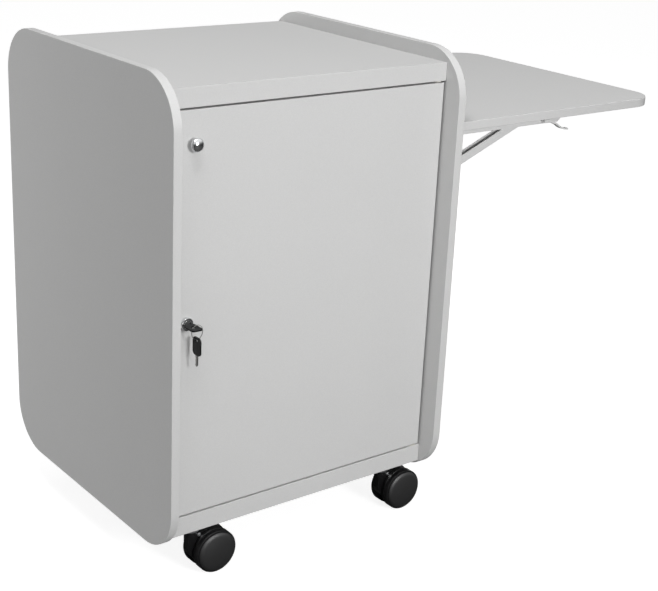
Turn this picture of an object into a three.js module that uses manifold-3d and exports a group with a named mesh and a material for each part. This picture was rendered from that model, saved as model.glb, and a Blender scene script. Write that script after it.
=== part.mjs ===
// Laptop charging cart: laminate cabinet on four twin-wheel casters, with a keyed door,
// racks and power strips inside, and a side shelf that folds down on two brackets.
// Cabinet axes: X to the right, Y to the back, Z up, zero at the left panel's lower front corner.
import * as THREE from 'three';
import { mergeVertices } from 'three/addons/utils/BufferGeometryUtils.js';
import Module from 'manifold-3d';

const wasm = await Module();
wasm.setup();

// Driving dimensions, millimetres: cabinet
const CABINET_WIDTH = 591;
const CABINET_DEPTH = 570;
const SIDE_HEIGHT = 810;
const BOARD = 16;
const SIDE_CORNER_RADIUS = 86;
const FACE_SETBACK = 38;
const BACK_SETBACK = 36;
const TOP_LEVEL = 786;
const TOP_THICKNESS = 32;
const BASE_UNDERSIDE = 18;
const BASE_THICKNESS = 35;
const MID_SHELF_LEVEL = 412;
const MID_SHELF_SETBACK = 57;
const BACK_BOARD = 12;
const FIT = 0.3;

// Back board: air slots and mains inlet
const SLOT_ROWS = [372, 392, 712, 732];
const SLOTS_PER_ROW = 6;
const SLOT_PITCH = 70;
const SLOT_LENGTH = 52;
const SLOT_HEIGHT = 8;
const INLET_LEVEL = 110;
const INLET_WIDTH = 48;
const INLET_HEIGHT = 28;
const INLET_WALL = 4;
const INLET_FLANGE_MARGIN = 8;
const INLET_FLANGE_THICKNESS = 3;
const INLET_DEPTH_INSIDE = 12;
const INLET_PIN_PITCH = 7;
const INLET_PIN_WIDTH = 2;
const INLET_PIN_HEIGHT = 4;
const INLET_PIN_LENGTH = 16;
const EARTH_PIN_RISE = 5;

// Racks and power strips
const RACK_BAYS = 10;
const RACK_WALL = 4;
const RACK_SIDE_GAP = 4;
const RACK_HEIGHT = 150;
const RACK_FRONT = 112;
const RACK_DEPTH = 320;
const STRIP_LENGTH = 470;
const STRIP_HEIGHT = 46;
const STRIP_DEPTH = 38;
const STRIP_CORNER = 6;
const LOWER_STRIP_LEVEL = 300;
const UPPER_STRIP_LEVEL = 640;

// Door, pivots and knob
const DOOR_GAP_TOP = 3.2;
const DOOR_GAP_LEFT = 2.2;
const DOOR_GAP_RIGHT = 4;
const PIVOT_INSET = 12;
const PIVOT_RADIUS = 3;
const PIVOT_GRIP = 20;
const PIVOT_REACH = 10;
const BUSH_RADIUS = 6;
const BUSH_FLANGE_RADIUS = 9;
const BUSH_FLANGE = 1.2;
const BUSH_FLOOR = 2;
const KNOB_X = 60;
const KNOB_Z = 697;
const KNOB_RADIUS = 11.5;
const KNOB_NECK_RADIUS = 7;
const KNOB_PROJECTION = 16;
const KNOB_HEAD_HALF = 6.8;
const KNOB_HEAD_STEPS = 8;
const KNOB_HEAD_SWEEP = (140 * Math.PI) / 180;

// Cam lock, its key and the spare key
const LOCK_X = 48;
const LOCK_Z = 403;
const LOCK_BARREL_RADIUS = 9.5;
const LOCK_BEZEL_RADIUS = 11.2;
const LOCK_PROJECTION = 6;
const LOCK_TAIL = 18;
const PLUG_RADIUS = 6.2;
const PLUG_RECESS = 0.4;
const PLUG_TAIL = 1.5;
const CAM_LENGTH = 27;
const CAM_HALF_WIDTH = 7;
const CAM_THICKNESS = 2.5;
const STRIKE_LEG = 16;
const STRIKE_PLATE = 2.5;
const STRIKE_DEPTH = 21;
const STRIKE_HALF_HEIGHT = 24;
const STRIKE_CLEARANCE = 1.6;
const KEY_HALF_BLADE = 3.2;
const KEY_BLADE_THICKNESS = 1.6;
const KEY_BLADE_IN_LOCK = 26;
const KEY_BOW_FRONT = 0.5;
const KEY_BOW_GAP = 1;
const KEY_BOW_THICKNESS = 2.6;
const KEY_BOW_HALF_WIDTH = 10;
const KEY_BOW_CORNER = 5;
const KEY_HOLE_RADIUS = 4.6;
const RING_PLANE = 15.5;
const RING_LEAN = 7.5;
const RING_HALF_WIDTH = 10.5;
const RING_HALF_HEIGHT = 12.5;
const RING_WIRE = 0.8;
const RING_STEPS = 24;
const SPARE_BOW_HALF_WIDTH = 11.5;
const SPARE_BOW_LENGTH = 31;
const SPARE_BOW_CORNER = 7;
const SPARE_HOLE_RADIUS = 3;
const SPARE_HOLE_EDGE = 2.6;
const SPARE_BLADE_LENGTH = 20;
const SPARE_BLADE_POINT = 3;

// Side shelf and its folding brackets
const SHELF_REACH = 528;
const SHELF_WIDTH = 556;
const SHELF_FRONT = 8;
const SHELF_LEVEL = 684;
const SHELF_CORNER_RADIUS = 60;
const SHELF_WALL_GAP = 3;
const BRACKET_INSET = 80;
const BRACKET_HALF_WIDTH = 14;
const BRACKET_PLATE = 4;
const BRACKET_PLATE_ABOVE = 10;
const BRACKET_PLATE_BELOW = 22;
const BRACKET_PIN_RADIUS = 3;
const BRACKET_PIN_OVERHANG = 1.5;
const PIVOT_FROM_WALL = 16;
const LUG_RADIUS = 8;
const LUG_THICKNESS = 2.5;
const SLIDE_GAP = 0.5;
const ARM_PLATE = 3;
const ARM_DEPTH_BELOW = 9;
const ARM_DEPTH_ABOVE = 12;
const ARM_LENGTH = 306;
const ARM_NOSE_LENGTH = 14;
const ARM_NOSE_RISE = 11;
const BRACE_DROP = 80;
const BRACE_REACH = 200;
const BRACE_HEIGHT = 16;
const BRACE_WIDTH = 15;
const LEVER_PIVOT_REACH = 252;
const LEVER_PIVOT_DROP = 1;
const LEVER_WIDTH = 10;
const LEVER_THICKNESS = 3;
const LEVER_HEEL = 6;
const LEVER_STRAIGHT = 6;
const LEVER_BEND = 30;
const LEVER_FOOT = 44;
const LEVER_TIP = 61;
const LEVER_DROP = 22;
const LEVER_BOSS_RADIUS = 2.5;
const LEVER_BOSS_LENGTH = 2.5;

// Casters
const CASTER_INSET_X = 82;
const CASTER_INSET_Y = 70.8;
const CASTER_TRAIL = 40;
const WHEEL_RADIUS = 40;
const WHEEL_WIDTH = 24;
const WHEEL_CLEARANCE = 2;
const WHEEL_SIDES = 24;
const WHEEL_FACE_RADIUS = 34.5;
const WHEEL_FACE_DOME = 4;
const WHEEL_RIM_RADIUS = 36.5;
const WHEEL_RIM_DEPTH = 6.5;
const WHEEL_SHOULDER = 8.5;
const WHEEL_EDGE = 1.5;
const STEM_RADIUS = 5;
const STEM_END = -6;
const STEM_COLLAR_RADIUS = 16;
const STEM_COLLAR_BOTTOM = 3;
const CASTER_PLATE = 3;
const CASTER_PLATE_HALF_LENGTH = 26;
const CASTER_PLATE_HALF_WIDTH = 22;
const HOOD_HALF_WEB = 7.2;
const HOOD_RADIUS = 38;
const HOOD_NOSE = 9;
const HOOD_SOCKET_RADIUS = 11;
const HOOD_SOCKET_BOTTOM = -8;
const HOOD_SOCKET_TOP = 2;
const AXLE_RADIUS = 4;
const AXLE_HALF_LENGTH = 22;

// Levels and planes worked out from the driving dimensions
const FLOOR = -(2 * WHEEL_RADIUS + WHEEL_CLEARANCE);
const INNER_LEFT = BOARD;
const INNER_RIGHT = CABINET_WIDTH - BOARD;
const CENTRE_X = CABINET_WIDTH / 2;
const BASE_TOP = BASE_UNDERSIDE + BASE_THICKNESS;
const TOP_UNDERSIDE = TOP_LEVEL - TOP_THICKNESS;
const DOOR_BACK = FACE_SETBACK + BOARD;
const DOOR_PIVOT_X = INNER_RIGHT - DOOR_GAP_RIGHT - PIVOT_INSET;
const DOOR_PIVOT_Y = FACE_SETBACK + BOARD / 2;
const BACK_FACE = CABINET_DEPTH - BACK_SETBACK;
const BACK_INNER = BACK_FACE - BACK_BOARD;
const LOCK_FRONT = FACE_SETBACK - LOCK_PROJECTION;
const LOCK_REAR = DOOR_BACK + LOCK_TAIL;
const CAM_FRONT = LOCK_REAR + PLUG_TAIL + FIT;
const SHELF_UNDERSIDE = SHELF_LEVEL - BOARD;
const BRACKET_PIVOT_X = CABINET_WIDTH + PIVOT_FROM_WALL;
const BRACKET_PIVOT_Z = SHELF_UNDERSIDE - FIT - ARM_PLATE - ARM_DEPTH_ABOVE;
const BRACE_PIVOT_Z = BRACKET_PIVOT_Z - BRACE_DROP;
const BRACKET_BORE = BRACKET_PIN_RADIUS + FIT;
const LEVER_PIVOT_X = BRACKET_PIVOT_X + LEVER_PIVOT_REACH;
const LEVER_PIVOT_Z = BRACKET_PIVOT_Z - LEVER_PIVOT_DROP;

const cart = new THREE.Group();
cart.position.set(-(CABINET_WIDTH + SHELF_REACH) / 2, -CABINET_DEPTH / 2, -FLOOR);

// Finishes seen on the real cart
const LAMINATE = { color: 0xb9b9b7, roughness: 0.55, metalness: 0 };
const STEEL = { color: 0xc4c6c8, roughness: 0.32, metalness: 1 };
const CHROME = { color: 0xdadcde, roughness: 0.12, metalness: 1 };
const BLACK_PLASTIC = { color: 0x17181a, roughness: 0.42, metalness: 0 };
const GREY_PLASTIC = { color: 0x55585b, roughness: 0.6, metalness: 0 };
const NYLON = { color: 0xd8d6cc, roughness: 0.5, metalness: 0 };

function addPart(name, geometry, finish) {
  const mesh = new THREE.Mesh(geometry, new THREE.MeshStandardMaterial(finish));
  mesh.name = name;
  cart.add(mesh);
}

// Boolean helpers: geometry to solid and back
function toSolid(geometry) {
  const bare = geometry.clone();
  bare.deleteAttribute('normal');
  bare.deleteAttribute('uv');
  const merged = mergeVertices(bare, 1e-4);
  return new wasm.Manifold(new wasm.Mesh({
    numProp: 3,
    vertProperties: new Float32Array(merged.attributes.position.array),
    triVerts: new Uint32Array(merged.index.array),
  }));
}

function toGeometry(solid) {
  const mesh = solid.getMesh();
  const geometry = new THREE.BufferGeometry();
  geometry.setAttribute('position', new THREE.BufferAttribute(mesh.vertProperties, 3));
  geometry.setIndex(new THREE.BufferAttribute(mesh.triVerts, 1));
  geometry.computeVertexNormals();
  return geometry;
}

function join(first, ...others) {
  return toGeometry(others.reduce((sum, piece) => sum.add(toSolid(piece)), toSolid(first)));
}

function cut(body, ...tools) {
  return toGeometry(tools.reduce((rest, tool) => rest.subtract(toSolid(tool)), toSolid(body)));
}

// Shape helpers
function block(x0, x1, y0, y1, z0, z1) {
  const geometry = new THREE.BoxGeometry(x1 - x0, y1 - y0, z1 - z0);
  return geometry.translate((x0 + x1) / 2, (y0 + y1) / 2, (z0 + z1) / 2);
}

function roundedRectangle(u0, u1, v0, v1, radius) {
  const shape = new THREE.Shape();
  shape.moveTo(u0 + radius, v0);
  shape.lineTo(u1 - radius, v0);
  shape.absarc(u1 - radius, v0 + radius, radius, -Math.PI / 2, 0);
  shape.lineTo(u1, v1 - radius);
  shape.absarc(u1 - radius, v1 - radius, radius, 0, Math.PI / 2);
  shape.lineTo(u0 + radius, v1);
  shape.absarc(u0 + radius, v1 - radius, radius, Math.PI / 2, Math.PI);
  shape.lineTo(u0, v0 + radius);
  shape.absarc(u0 + radius, v0 + radius, radius, Math.PI, 1.5 * Math.PI);
  return shape;
}

function polygon(points) {
  return new THREE.Shape(points.map(([u, v]) => new THREE.Vector2(u, v)));
}

function extrude(shape, depth, curveSegments) {
  return new THREE.ExtrudeGeometry(shape, { depth, bevelEnabled: false, curveSegments });
}

// A shape drawn in Y and Z, pushed along X
function extrudeX(shape, x0, x1, curveSegments = 2) {
  const turn = new THREE.Matrix4().makeBasis(
    new THREE.Vector3(0, 1, 0),
    new THREE.Vector3(0, 0, 1),
    new THREE.Vector3(1, 0, 0),
  );
  return extrude(shape, x1 - x0, curveSegments).applyMatrix4(turn).translate(x0, 0, 0);
}

// A shape drawn in X and Z, pushed along Y
function extrudeY(shape, y0, y1, curveSegments = 2) {
  return extrude(shape, y1 - y0, curveSegments).rotateX(Math.PI / 2).translate(0, y1, 0);
}

// A shape drawn in X and Y, pushed along Z
function extrudeZ(shape, z0, z1, curveSegments = 2) {
  return extrude(shape, z1 - z0, curveSegments).translate(0, 0, z0);
}

function rodY(radius, x, y0, y1, z, sides = 12) {
  return new THREE.CylinderGeometry(radius, radius, y1 - y0, sides).translate(x, (y0 + y1) / 2, z);
}

function rodZ(radius, x, y, z0, z1, sides = 16) {
  const rod = new THREE.CylinderGeometry(radius, radius, z1 - z0, sides).rotateX(Math.PI / 2);
  return rod.translate(x, y, (z0 + z1) / 2);
}

// A profile of radius and height points turned about an upright axis
function turnedZ(profile, x, y, sides) {
  const points = profile.map(([radius, height]) => new THREE.Vector2(radius, height));
  return new THREE.LatheGeometry(points, sides).rotateX(Math.PI / 2).translate(x, y, 0);
}

// A profile of radius and distance points turned about an axis along Y
function turnedY(profile, x, z, sides) {
  const points = profile.map(([radius, distance]) => new THREE.Vector2(radius, distance));
  return new THREE.LatheGeometry(points, sides).translate(x, 0, z);
}

// Cabinet boards
function buildCabinet() {
  const sideOutline = roundedRectangle(0, CABINET_DEPTH, 0, SIDE_HEIGHT, SIDE_CORNER_RADIUS);
  const cornerSegments = 6;
  addPart('side_panel_left', extrudeX(sideOutline, 0, BOARD, cornerSegments), LAMINATE);
  addPart('side_panel_right', extrudeX(sideOutline, INNER_RIGHT, CABINET_WIDTH, cornerSegments), LAMINATE);

  const left = INNER_LEFT + FIT;
  const right = INNER_RIGHT - FIT;
  const bushBore = BUSH_RADIUS + FIT;
  const boreDepth = PIVOT_REACH + BUSH_FLOOR + 2;

  const top = block(left, right, FACE_SETBACK, BACK_FACE, TOP_UNDERSIDE, TOP_LEVEL);
  const topBore = rodZ(bushBore, DOOR_PIVOT_X, DOOR_PIVOT_Y, TOP_UNDERSIDE - 1, TOP_UNDERSIDE + boreDepth);
  addPart('top_panel', cut(top, topBore), LAMINATE);

  const base = block(left, right, FACE_SETBACK, BACK_FACE, BASE_UNDERSIDE, BASE_TOP);
  const baseBore = rodZ(bushBore, DOOR_PIVOT_X, DOOR_PIVOT_Y, BASE_TOP - boreDepth, BASE_TOP + 1);
  addPart('base_panel', cut(base, baseBore), LAMINATE);

  const midFront = FACE_SETBACK + MID_SHELF_SETBACK;
  const midUnderside = MID_SHELF_LEVEL - BOARD;
  const midShelf = block(left, right, midFront, BACK_INNER - FIT, midUnderside, MID_SHELF_LEVEL);
  addPart('mid_shelf', midShelf, LAMINATE);
  buildBackBoard(left, right);
}

// Back board with rows of air slots and a window for the mains inlet
function buildBackBoard(left, right) {
  const board = block(left, right, BACK_INNER, BACK_FACE, BASE_TOP + FIT, TOP_UNDERSIDE - FIT);
  const openings = [];
  const opening = (middle, level, width, height) => block(
    middle - width / 2,
    middle + width / 2,
    BACK_INNER - 1,
    BACK_FACE + 1,
    level - height / 2,
    level + height / 2,
  );
  for (const level of SLOT_ROWS) {
    for (let index = 0; index < SLOTS_PER_ROW; index += 1) {
      const middle = CENTRE_X + (index - (SLOTS_PER_ROW - 1) / 2) * SLOT_PITCH;
      openings.push(opening(middle, level, SLOT_LENGTH, SLOT_HEIGHT));
    }
  }
  openings.push(opening(CENTRE_X, INLET_LEVEL, INLET_WIDTH + 2 * FIT, INLET_HEIGHT + 2 * FIT));
  addPart('back_panel', cut(board, ...openings), LAMINATE);
  buildInlet();
}

// Appliance inlet: flanged cup through the back board, with three flat pins
function buildInlet() {
  const halfWidth = INLET_WIDTH / 2;
  const halfHeight = INLET_HEIGHT / 2;
  const flangeBack = BACK_FACE + FIT;
  const flangeFace = flangeBack + INLET_FLANGE_THICKNESS;
  const innerEnd = BACK_INNER - INLET_DEPTH_INSIDE;
  const cupFloor = innerEnd + INLET_WALL;
  const flangeOutline = roundedRectangle(
    CENTRE_X - halfWidth - INLET_FLANGE_MARGIN,
    CENTRE_X + halfWidth + INLET_FLANGE_MARGIN,
    INLET_LEVEL - halfHeight - INLET_FLANGE_MARGIN,
    INLET_LEVEL + halfHeight + INLET_FLANGE_MARGIN,
    INLET_FLANGE_MARGIN / 2,
  );
  const cup = block(
    CENTRE_X - halfWidth,
    CENTRE_X + halfWidth,
    innerEnd,
    flangeBack + 1,
    INLET_LEVEL - halfHeight,
    INLET_LEVEL + halfHeight,
  );
  const cavity = block(
    CENTRE_X - halfWidth + INLET_WALL,
    CENTRE_X + halfWidth - INLET_WALL,
    cupFloor,
    flangeFace + 1,
    INLET_LEVEL - halfHeight + INLET_WALL,
    INLET_LEVEL + halfHeight - INLET_WALL,
  );
  const pins = [-1, 0, 1].map((place) => {
    const middle = CENTRE_X + place * INLET_PIN_PITCH;
    const level = INLET_LEVEL - INLET_PIN_HEIGHT / 2 + (place === 0 ? EARTH_PIN_RISE : 0);
    return block(
      middle - INLET_PIN_WIDTH / 2,
      middle + INLET_PIN_WIDTH / 2,
      cupFloor - 1,
      cupFloor + INLET_PIN_LENGTH,
      level - INLET_PIN_HEIGHT / 2,
      level + INLET_PIN_HEIGHT / 2,
    );
  });
  const shell = cut(join(extrudeY(flangeOutline, flangeBack, flangeFace), cup), cavity);
  addPart('mains_inlet', join(shell, ...pins), BLACK_PLASTIC);
}

// Laptop racks, one comb-shaped tray per level, and a power strip behind each
function buildInterior() {
  const left = INNER_LEFT + RACK_SIDE_GAP;
  const right = INNER_RIGHT - RACK_SIDE_GAP;
  const pitch = (right - left - RACK_WALL) / RACK_BAYS;
  const levels = [
    { suffix: 'lower', floor: BASE_TOP, stripLevel: LOWER_STRIP_LEVEL },
    { suffix: 'upper', floor: MID_SHELF_LEVEL, stripLevel: UPPER_STRIP_LEVEL },
  ];
  for (const { suffix, floor, stripLevel } of levels) {
    const foot = floor + FIT;
    const points = [[left, foot], [right, foot]];
    for (let bay = RACK_BAYS; bay >= 0; bay -= 1) {
      const wallLeft = left + bay * pitch;
      if (bay < RACK_BAYS) points.push([wallLeft + RACK_WALL, foot + RACK_WALL]);
      points.push([wallLeft + RACK_WALL, foot + RACK_HEIGHT]);
      points.push([wallLeft, foot + RACK_HEIGHT]);
      if (bay > 0) points.push([wallLeft, foot + RACK_WALL]);
    }
    const rack = extrudeY(polygon(points), RACK_FRONT, RACK_FRONT + RACK_DEPTH);
    addPart(`laptop_rack_${suffix}`, rack, GREY_PLASTIC);

    const stripLeft = CENTRE_X - STRIP_LENGTH / 2;
    const stripBack = BACK_INNER - FIT;
    const stripOutline = roundedRectangle(
      stripLeft,
      stripLeft + STRIP_LENGTH,
      stripLevel,
      stripLevel + STRIP_HEIGHT,
      STRIP_CORNER,
    );
    const strip = extrudeY(stripOutline, stripBack - STRIP_DEPTH, stripBack);
    addPart(`power_strip_${suffix}`, strip, BLACK_PLASTIC);
  }
}

// Door leaf with its pivots, pull knob and a hole for the lock
function buildDoor() {
  const left = INNER_LEFT + DOOR_GAP_LEFT;
  const right = INNER_RIGHT - DOOR_GAP_RIGHT;
  const bottom = BASE_TOP + DOOR_GAP_TOP;
  const top = TOP_UNDERSIDE - DOOR_GAP_TOP;
  const pinBore = PIVOT_RADIUS + FIT;
  const x = DOOR_PIVOT_X;
  const y = DOOR_PIVOT_Y;

  const leaf = block(left, right, FACE_SETBACK, DOOR_BACK, bottom, top);
  addPart('door_panel', cut(
    leaf,
    rodZ(pinBore, x, y, top - PIVOT_GRIP - FIT, top + 1),
    rodZ(pinBore, x, y, bottom - 1, bottom + PIVOT_GRIP + FIT),
    rodY(LOCK_BARREL_RADIUS + FIT, LOCK_X, FACE_SETBACK - 1, DOOR_BACK + 1, LOCK_Z, 20),
  ), LAMINATE);

  const topPin = rodZ(PIVOT_RADIUS, x, y, top - PIVOT_GRIP, TOP_UNDERSIDE + PIVOT_REACH);
  const bottomPin = rodZ(PIVOT_RADIUS, x, y, BASE_TOP - PIVOT_REACH, bottom + PIVOT_GRIP);
  addPart('door_pivot_pin_top', topPin, STEEL);
  addPart('door_pivot_pin_bottom', bottomPin, STEEL);
  buildPivotBush('door_pivot_bush_top', TOP_UNDERSIDE, 1);
  buildPivotBush('door_pivot_bush_bottom', BASE_TOP, -1);
  buildKnob();
}

// A flanged nylon cup pressed into the board, closed at its inner end
function buildPivotBush(name, boardFace, inward) {
  const at = (distance) => boardFace + inward * distance;
  const bore = PIVOT_RADIUS + FIT;
  const floor = PIVOT_REACH + 1;
  const profile = [
    [0, at(floor)],
    [bore, at(floor)],
    [bore, at(-FIT - BUSH_FLANGE)],
    [BUSH_FLANGE_RADIUS, at(-FIT - BUSH_FLANGE)],
    [BUSH_FLANGE_RADIUS, at(-FIT)],
    [BUSH_RADIUS, at(-FIT)],
    [BUSH_RADIUS, at(floor + BUSH_FLOOR)],
    [0, at(floor + BUSH_FLOOR)],
  ];
  const ordered = inward > 0 ? profile : [...profile].reverse();
  addPart(name, turnedZ(ordered, DOOR_PIVOT_X, DOOR_PIVOT_Y, 16), NYLON);
}

// Chrome pull knob: a rounded head on a narrow neck
function buildKnob() {
  const seat = FACE_SETBACK - FIT;
  const face = seat - KNOB_PROJECTION;
  const headMiddle = face + KNOB_HEAD_HALF;
  const head = [[0, face]];
  for (let step = 1; step <= KNOB_HEAD_STEPS; step += 1) {
    const angle = Math.PI / 2 - (step / KNOB_HEAD_STEPS) * KNOB_HEAD_SWEEP;
    head.push([KNOB_RADIUS * Math.cos(angle), headMiddle - KNOB_HEAD_HALF * Math.sin(angle)]);
  }
  const neckStart = head[KNOB_HEAD_STEPS][1];
  const profile = [
    ...head,
    [KNOB_NECK_RADIUS, neckStart],
    [KNOB_NECK_RADIUS, seat],
    [0, seat],
  ];
  addPart('door_knob', turnedY(profile, KNOB_X, KNOB_Z, 24), CHROME);
}

// Cam lock: barrel fixed in the door, with plug, key and cam turning together
function buildLock() {
  const bore = PLUG_RADIUS + FIT;
  const bezelBack = FACE_SETBACK - FIT;
  const barrel = [
    [bore, LOCK_FRONT],
    [LOCK_BEZEL_RADIUS - 1, LOCK_FRONT],
    [LOCK_BEZEL_RADIUS, LOCK_FRONT + 1],
    [LOCK_BEZEL_RADIUS, bezelBack],
    [LOCK_BARREL_RADIUS, bezelBack],
    [LOCK_BARREL_RADIUS, LOCK_REAR],
    [bore, LOCK_REAR],
    [bore, LOCK_FRONT],
  ];
  addPart('lock_barrel', turnedY(barrel, LOCK_X, LOCK_Z, 20), CHROME);

  const plugFront = LOCK_FRONT + PLUG_RECESS;
  const plug = rodY(PLUG_RADIUS, LOCK_X, plugFront, LOCK_REAR + PLUG_TAIL, LOCK_Z, 20);
  const keyway = block(
    LOCK_X - KEY_HALF_BLADE - FIT,
    LOCK_X + KEY_HALF_BLADE + FIT,
    plugFront - 1,
    LOCK_FRONT + KEY_BLADE_IN_LOCK + 1,
    LOCK_Z - KEY_BLADE_THICKNESS / 2 - FIT,
    LOCK_Z + KEY_BLADE_THICKNESS / 2 + FIT,
  );
  addPart('lock_plug', cut(plug, keyway), CHROME);

  const camOutline = roundedRectangle(
    LOCK_X - CAM_HALF_WIDTH,
    LOCK_X + CAM_HALF_WIDTH,
    LOCK_Z - CAM_LENGTH,
    LOCK_Z + CAM_HALF_WIDTH + 1,
    CAM_HALF_WIDTH / 2,
  );
  addPart('lock_cam', extrudeY(camOutline, CAM_FRONT, CAM_FRONT + CAM_THICKNESS), STEEL);
  buildStrike();
  buildInsertedKey();
  buildSpareKey();
}

// Angle strike screwed to the left panel: the turned cam catches behind its short leg
function buildStrike() {
  const seat = INNER_LEFT + FIT;
  const legBack = CAM_FRONT - STRIKE_CLEARANCE;
  const legFront = legBack - STRIKE_PLATE;
  const outline = polygon([
    [seat, legFront],
    [seat + STRIKE_LEG, legFront],
    [seat + STRIKE_LEG, legBack],
    [seat + STRIKE_PLATE, legBack],
    [seat + STRIKE_PLATE, legFront + STRIKE_DEPTH],
    [seat, legFront + STRIKE_DEPTH],
  ]);
  addPart('lock_strike', extrudeZ(outline, LOCK_Z - STRIKE_HALF_HEIGHT, LOCK_Z + STRIKE_HALF_HEIGHT), STEEL);
}

// The key in the lock: flat black bow lying level, steel blade inside the plug
function buildInsertedKey() {
  const bowRear = LOCK_FRONT - KEY_BOW_GAP;
  const left = LOCK_X - KEY_BOW_HALF_WIDTH;
  const right = LOCK_X + KEY_BOW_HALF_WIDTH;
  const halfBow = KEY_BOW_THICKNESS / 2;
  const halfBlade = KEY_BLADE_THICKNESS / 2;
  const bow = roundedRectangle(left, right, KEY_BOW_FRONT, bowRear, KEY_BOW_CORNER);
  const bowPlate = extrudeZ(bow, LOCK_Z - halfBow, LOCK_Z + halfBow);
  const blade = block(
    LOCK_X - KEY_HALF_BLADE,
    LOCK_X + KEY_HALF_BLADE,
    bowRear - KEY_HALF_BLADE,
    LOCK_FRONT + KEY_BLADE_IN_LOCK,
    LOCK_Z - halfBlade,
    LOCK_Z + halfBlade,
  );
  const ringHole = rodZ(KEY_HOLE_RADIUS, LOCK_X, RING_PLANE, LOCK_Z - halfBow - 1, LOCK_Z + halfBow + 1, 12);
  addPart('lock_key', cut(join(bowPlate, blade), ringHole), BLACK_PLASTIC);
}

// Spare key on a wire ring through the first key's bow, hanging in front of the door
function buildSpareKey() {
  const slope = RING_LEAN / RING_HALF_WIDTH;
  const ringX = LOCK_X + RING_LEAN;
  const ringZ = LOCK_Z - RING_HALF_HEIGHT * Math.sqrt(1 - slope * slope);
  const oval = new THREE.EllipseCurve(ringX, ringZ, RING_HALF_WIDTH, RING_HALF_HEIGHT).getPoints(RING_STEPS);
  const loop = oval.slice(1).map((point) => new THREE.Vector3(point.x, RING_PLANE, point.y));
  const path = new THREE.CatmullRomCurve3(loop, true);
  addPart('key_ring', new THREE.TubeGeometry(path, RING_STEPS, RING_WIRE, 5, true), STEEL);

  const holeZ = ringZ - RING_HALF_HEIGHT - (SPARE_HOLE_RADIUS - RING_WIRE - FIT);
  const bowTop = holeZ + SPARE_HOLE_RADIUS + SPARE_HOLE_EDGE;
  const bowBottom = bowTop - SPARE_BOW_LENGTH;
  const bladeEnd = bowBottom - SPARE_BLADE_LENGTH;
  const halfBow = KEY_BOW_THICKNESS / 2;
  const halfBlade = KEY_BLADE_THICKNESS / 2;
  const bow = roundedRectangle(
    RING_PLANE - SPARE_BOW_HALF_WIDTH,
    RING_PLANE + SPARE_BOW_HALF_WIDTH,
    bowBottom,
    bowTop,
    SPARE_BOW_CORNER,
  );
  const holeTool = rodZ(SPARE_HOLE_RADIUS, 0, 0, -KEY_BOW_THICKNESS, KEY_BOW_THICKNESS, 12);
  const hole = holeTool.rotateY(Math.PI / 2).translate(ringX, RING_PLANE, holeZ);
  const bladeShape = polygon([
    [RING_PLANE - KEY_HALF_BLADE, bowBottom + KEY_HALF_BLADE],
    [RING_PLANE - KEY_HALF_BLADE, bladeEnd + SPARE_BLADE_POINT],
    [RING_PLANE, bladeEnd],
    [RING_PLANE + KEY_HALF_BLADE, bladeEnd + SPARE_BLADE_POINT],
    [RING_PLANE + KEY_HALF_BLADE, bowBottom + KEY_HALF_BLADE],
  ]);
  const bowPlate = extrudeX(bow, ringX - halfBow, ringX + halfBow);
  const blade = extrudeX(bladeShape, ringX - halfBlade, ringX + halfBlade);
  addPart('spare_key', cut(join(bowPlate, blade), hole), BLACK_PLASTIC);
}

// Fold-down side shelf and its two brackets
function buildShelf() {
  const near = CABINET_WIDTH + SHELF_WALL_GAP;
  const far = CABINET_WIDTH + SHELF_REACH;
  const front = SHELF_FRONT;
  const back = SHELF_FRONT + SHELF_WIDTH;
  const radius = SHELF_CORNER_RADIUS;
  const outline = new THREE.Shape();
  outline.moveTo(near, front);
  outline.lineTo(far - radius, front);
  outline.absarc(far - radius, front + radius, radius, -Math.PI / 2, 0);
  outline.lineTo(far, back - radius);
  outline.absarc(far - radius, back - radius, radius, 0, Math.PI / 2);
  outline.lineTo(near, back);
  addPart('side_shelf', extrudeZ(outline, SHELF_UNDERSIDE, SHELF_LEVEL, 6), LAMINATE);

  const brackets = [
    { suffix: 'front', middle: BRACKET_INSET, outward: -1 },
    { suffix: 'rear', middle: CABINET_DEPTH - BRACKET_INSET, outward: 1 },
  ];
  for (const bracket of brackets) {
    buildWallArm(bracket);
    buildShelfArm(bracket);
    buildBrace(bracket);
    buildLever(bracket);
  }
}

// A lug drawn from the wall plate to a rounded end about a pivot
function wallLug(pivotZ) {
  const root = CABINET_WIDTH + FIT + BRACKET_PLATE - 1;
  const lug = new THREE.Shape();
  lug.moveTo(root, pivotZ - LUG_RADIUS);
  lug.lineTo(BRACKET_PIVOT_X, pivotZ - LUG_RADIUS);
  lug.absarc(BRACKET_PIVOT_X, pivotZ, LUG_RADIUS, -Math.PI / 2, Math.PI / 2);
  lug.lineTo(root, pivotZ + LUG_RADIUS);
  return lug;
}

// Two faces on one side of a bracket's middle, in rising order
function sideFaces(middle, side, inner, outer) {
  const faces = [middle + side * inner, middle + side * outer];
  return faces.sort((first, second) => first - second);
}

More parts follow.
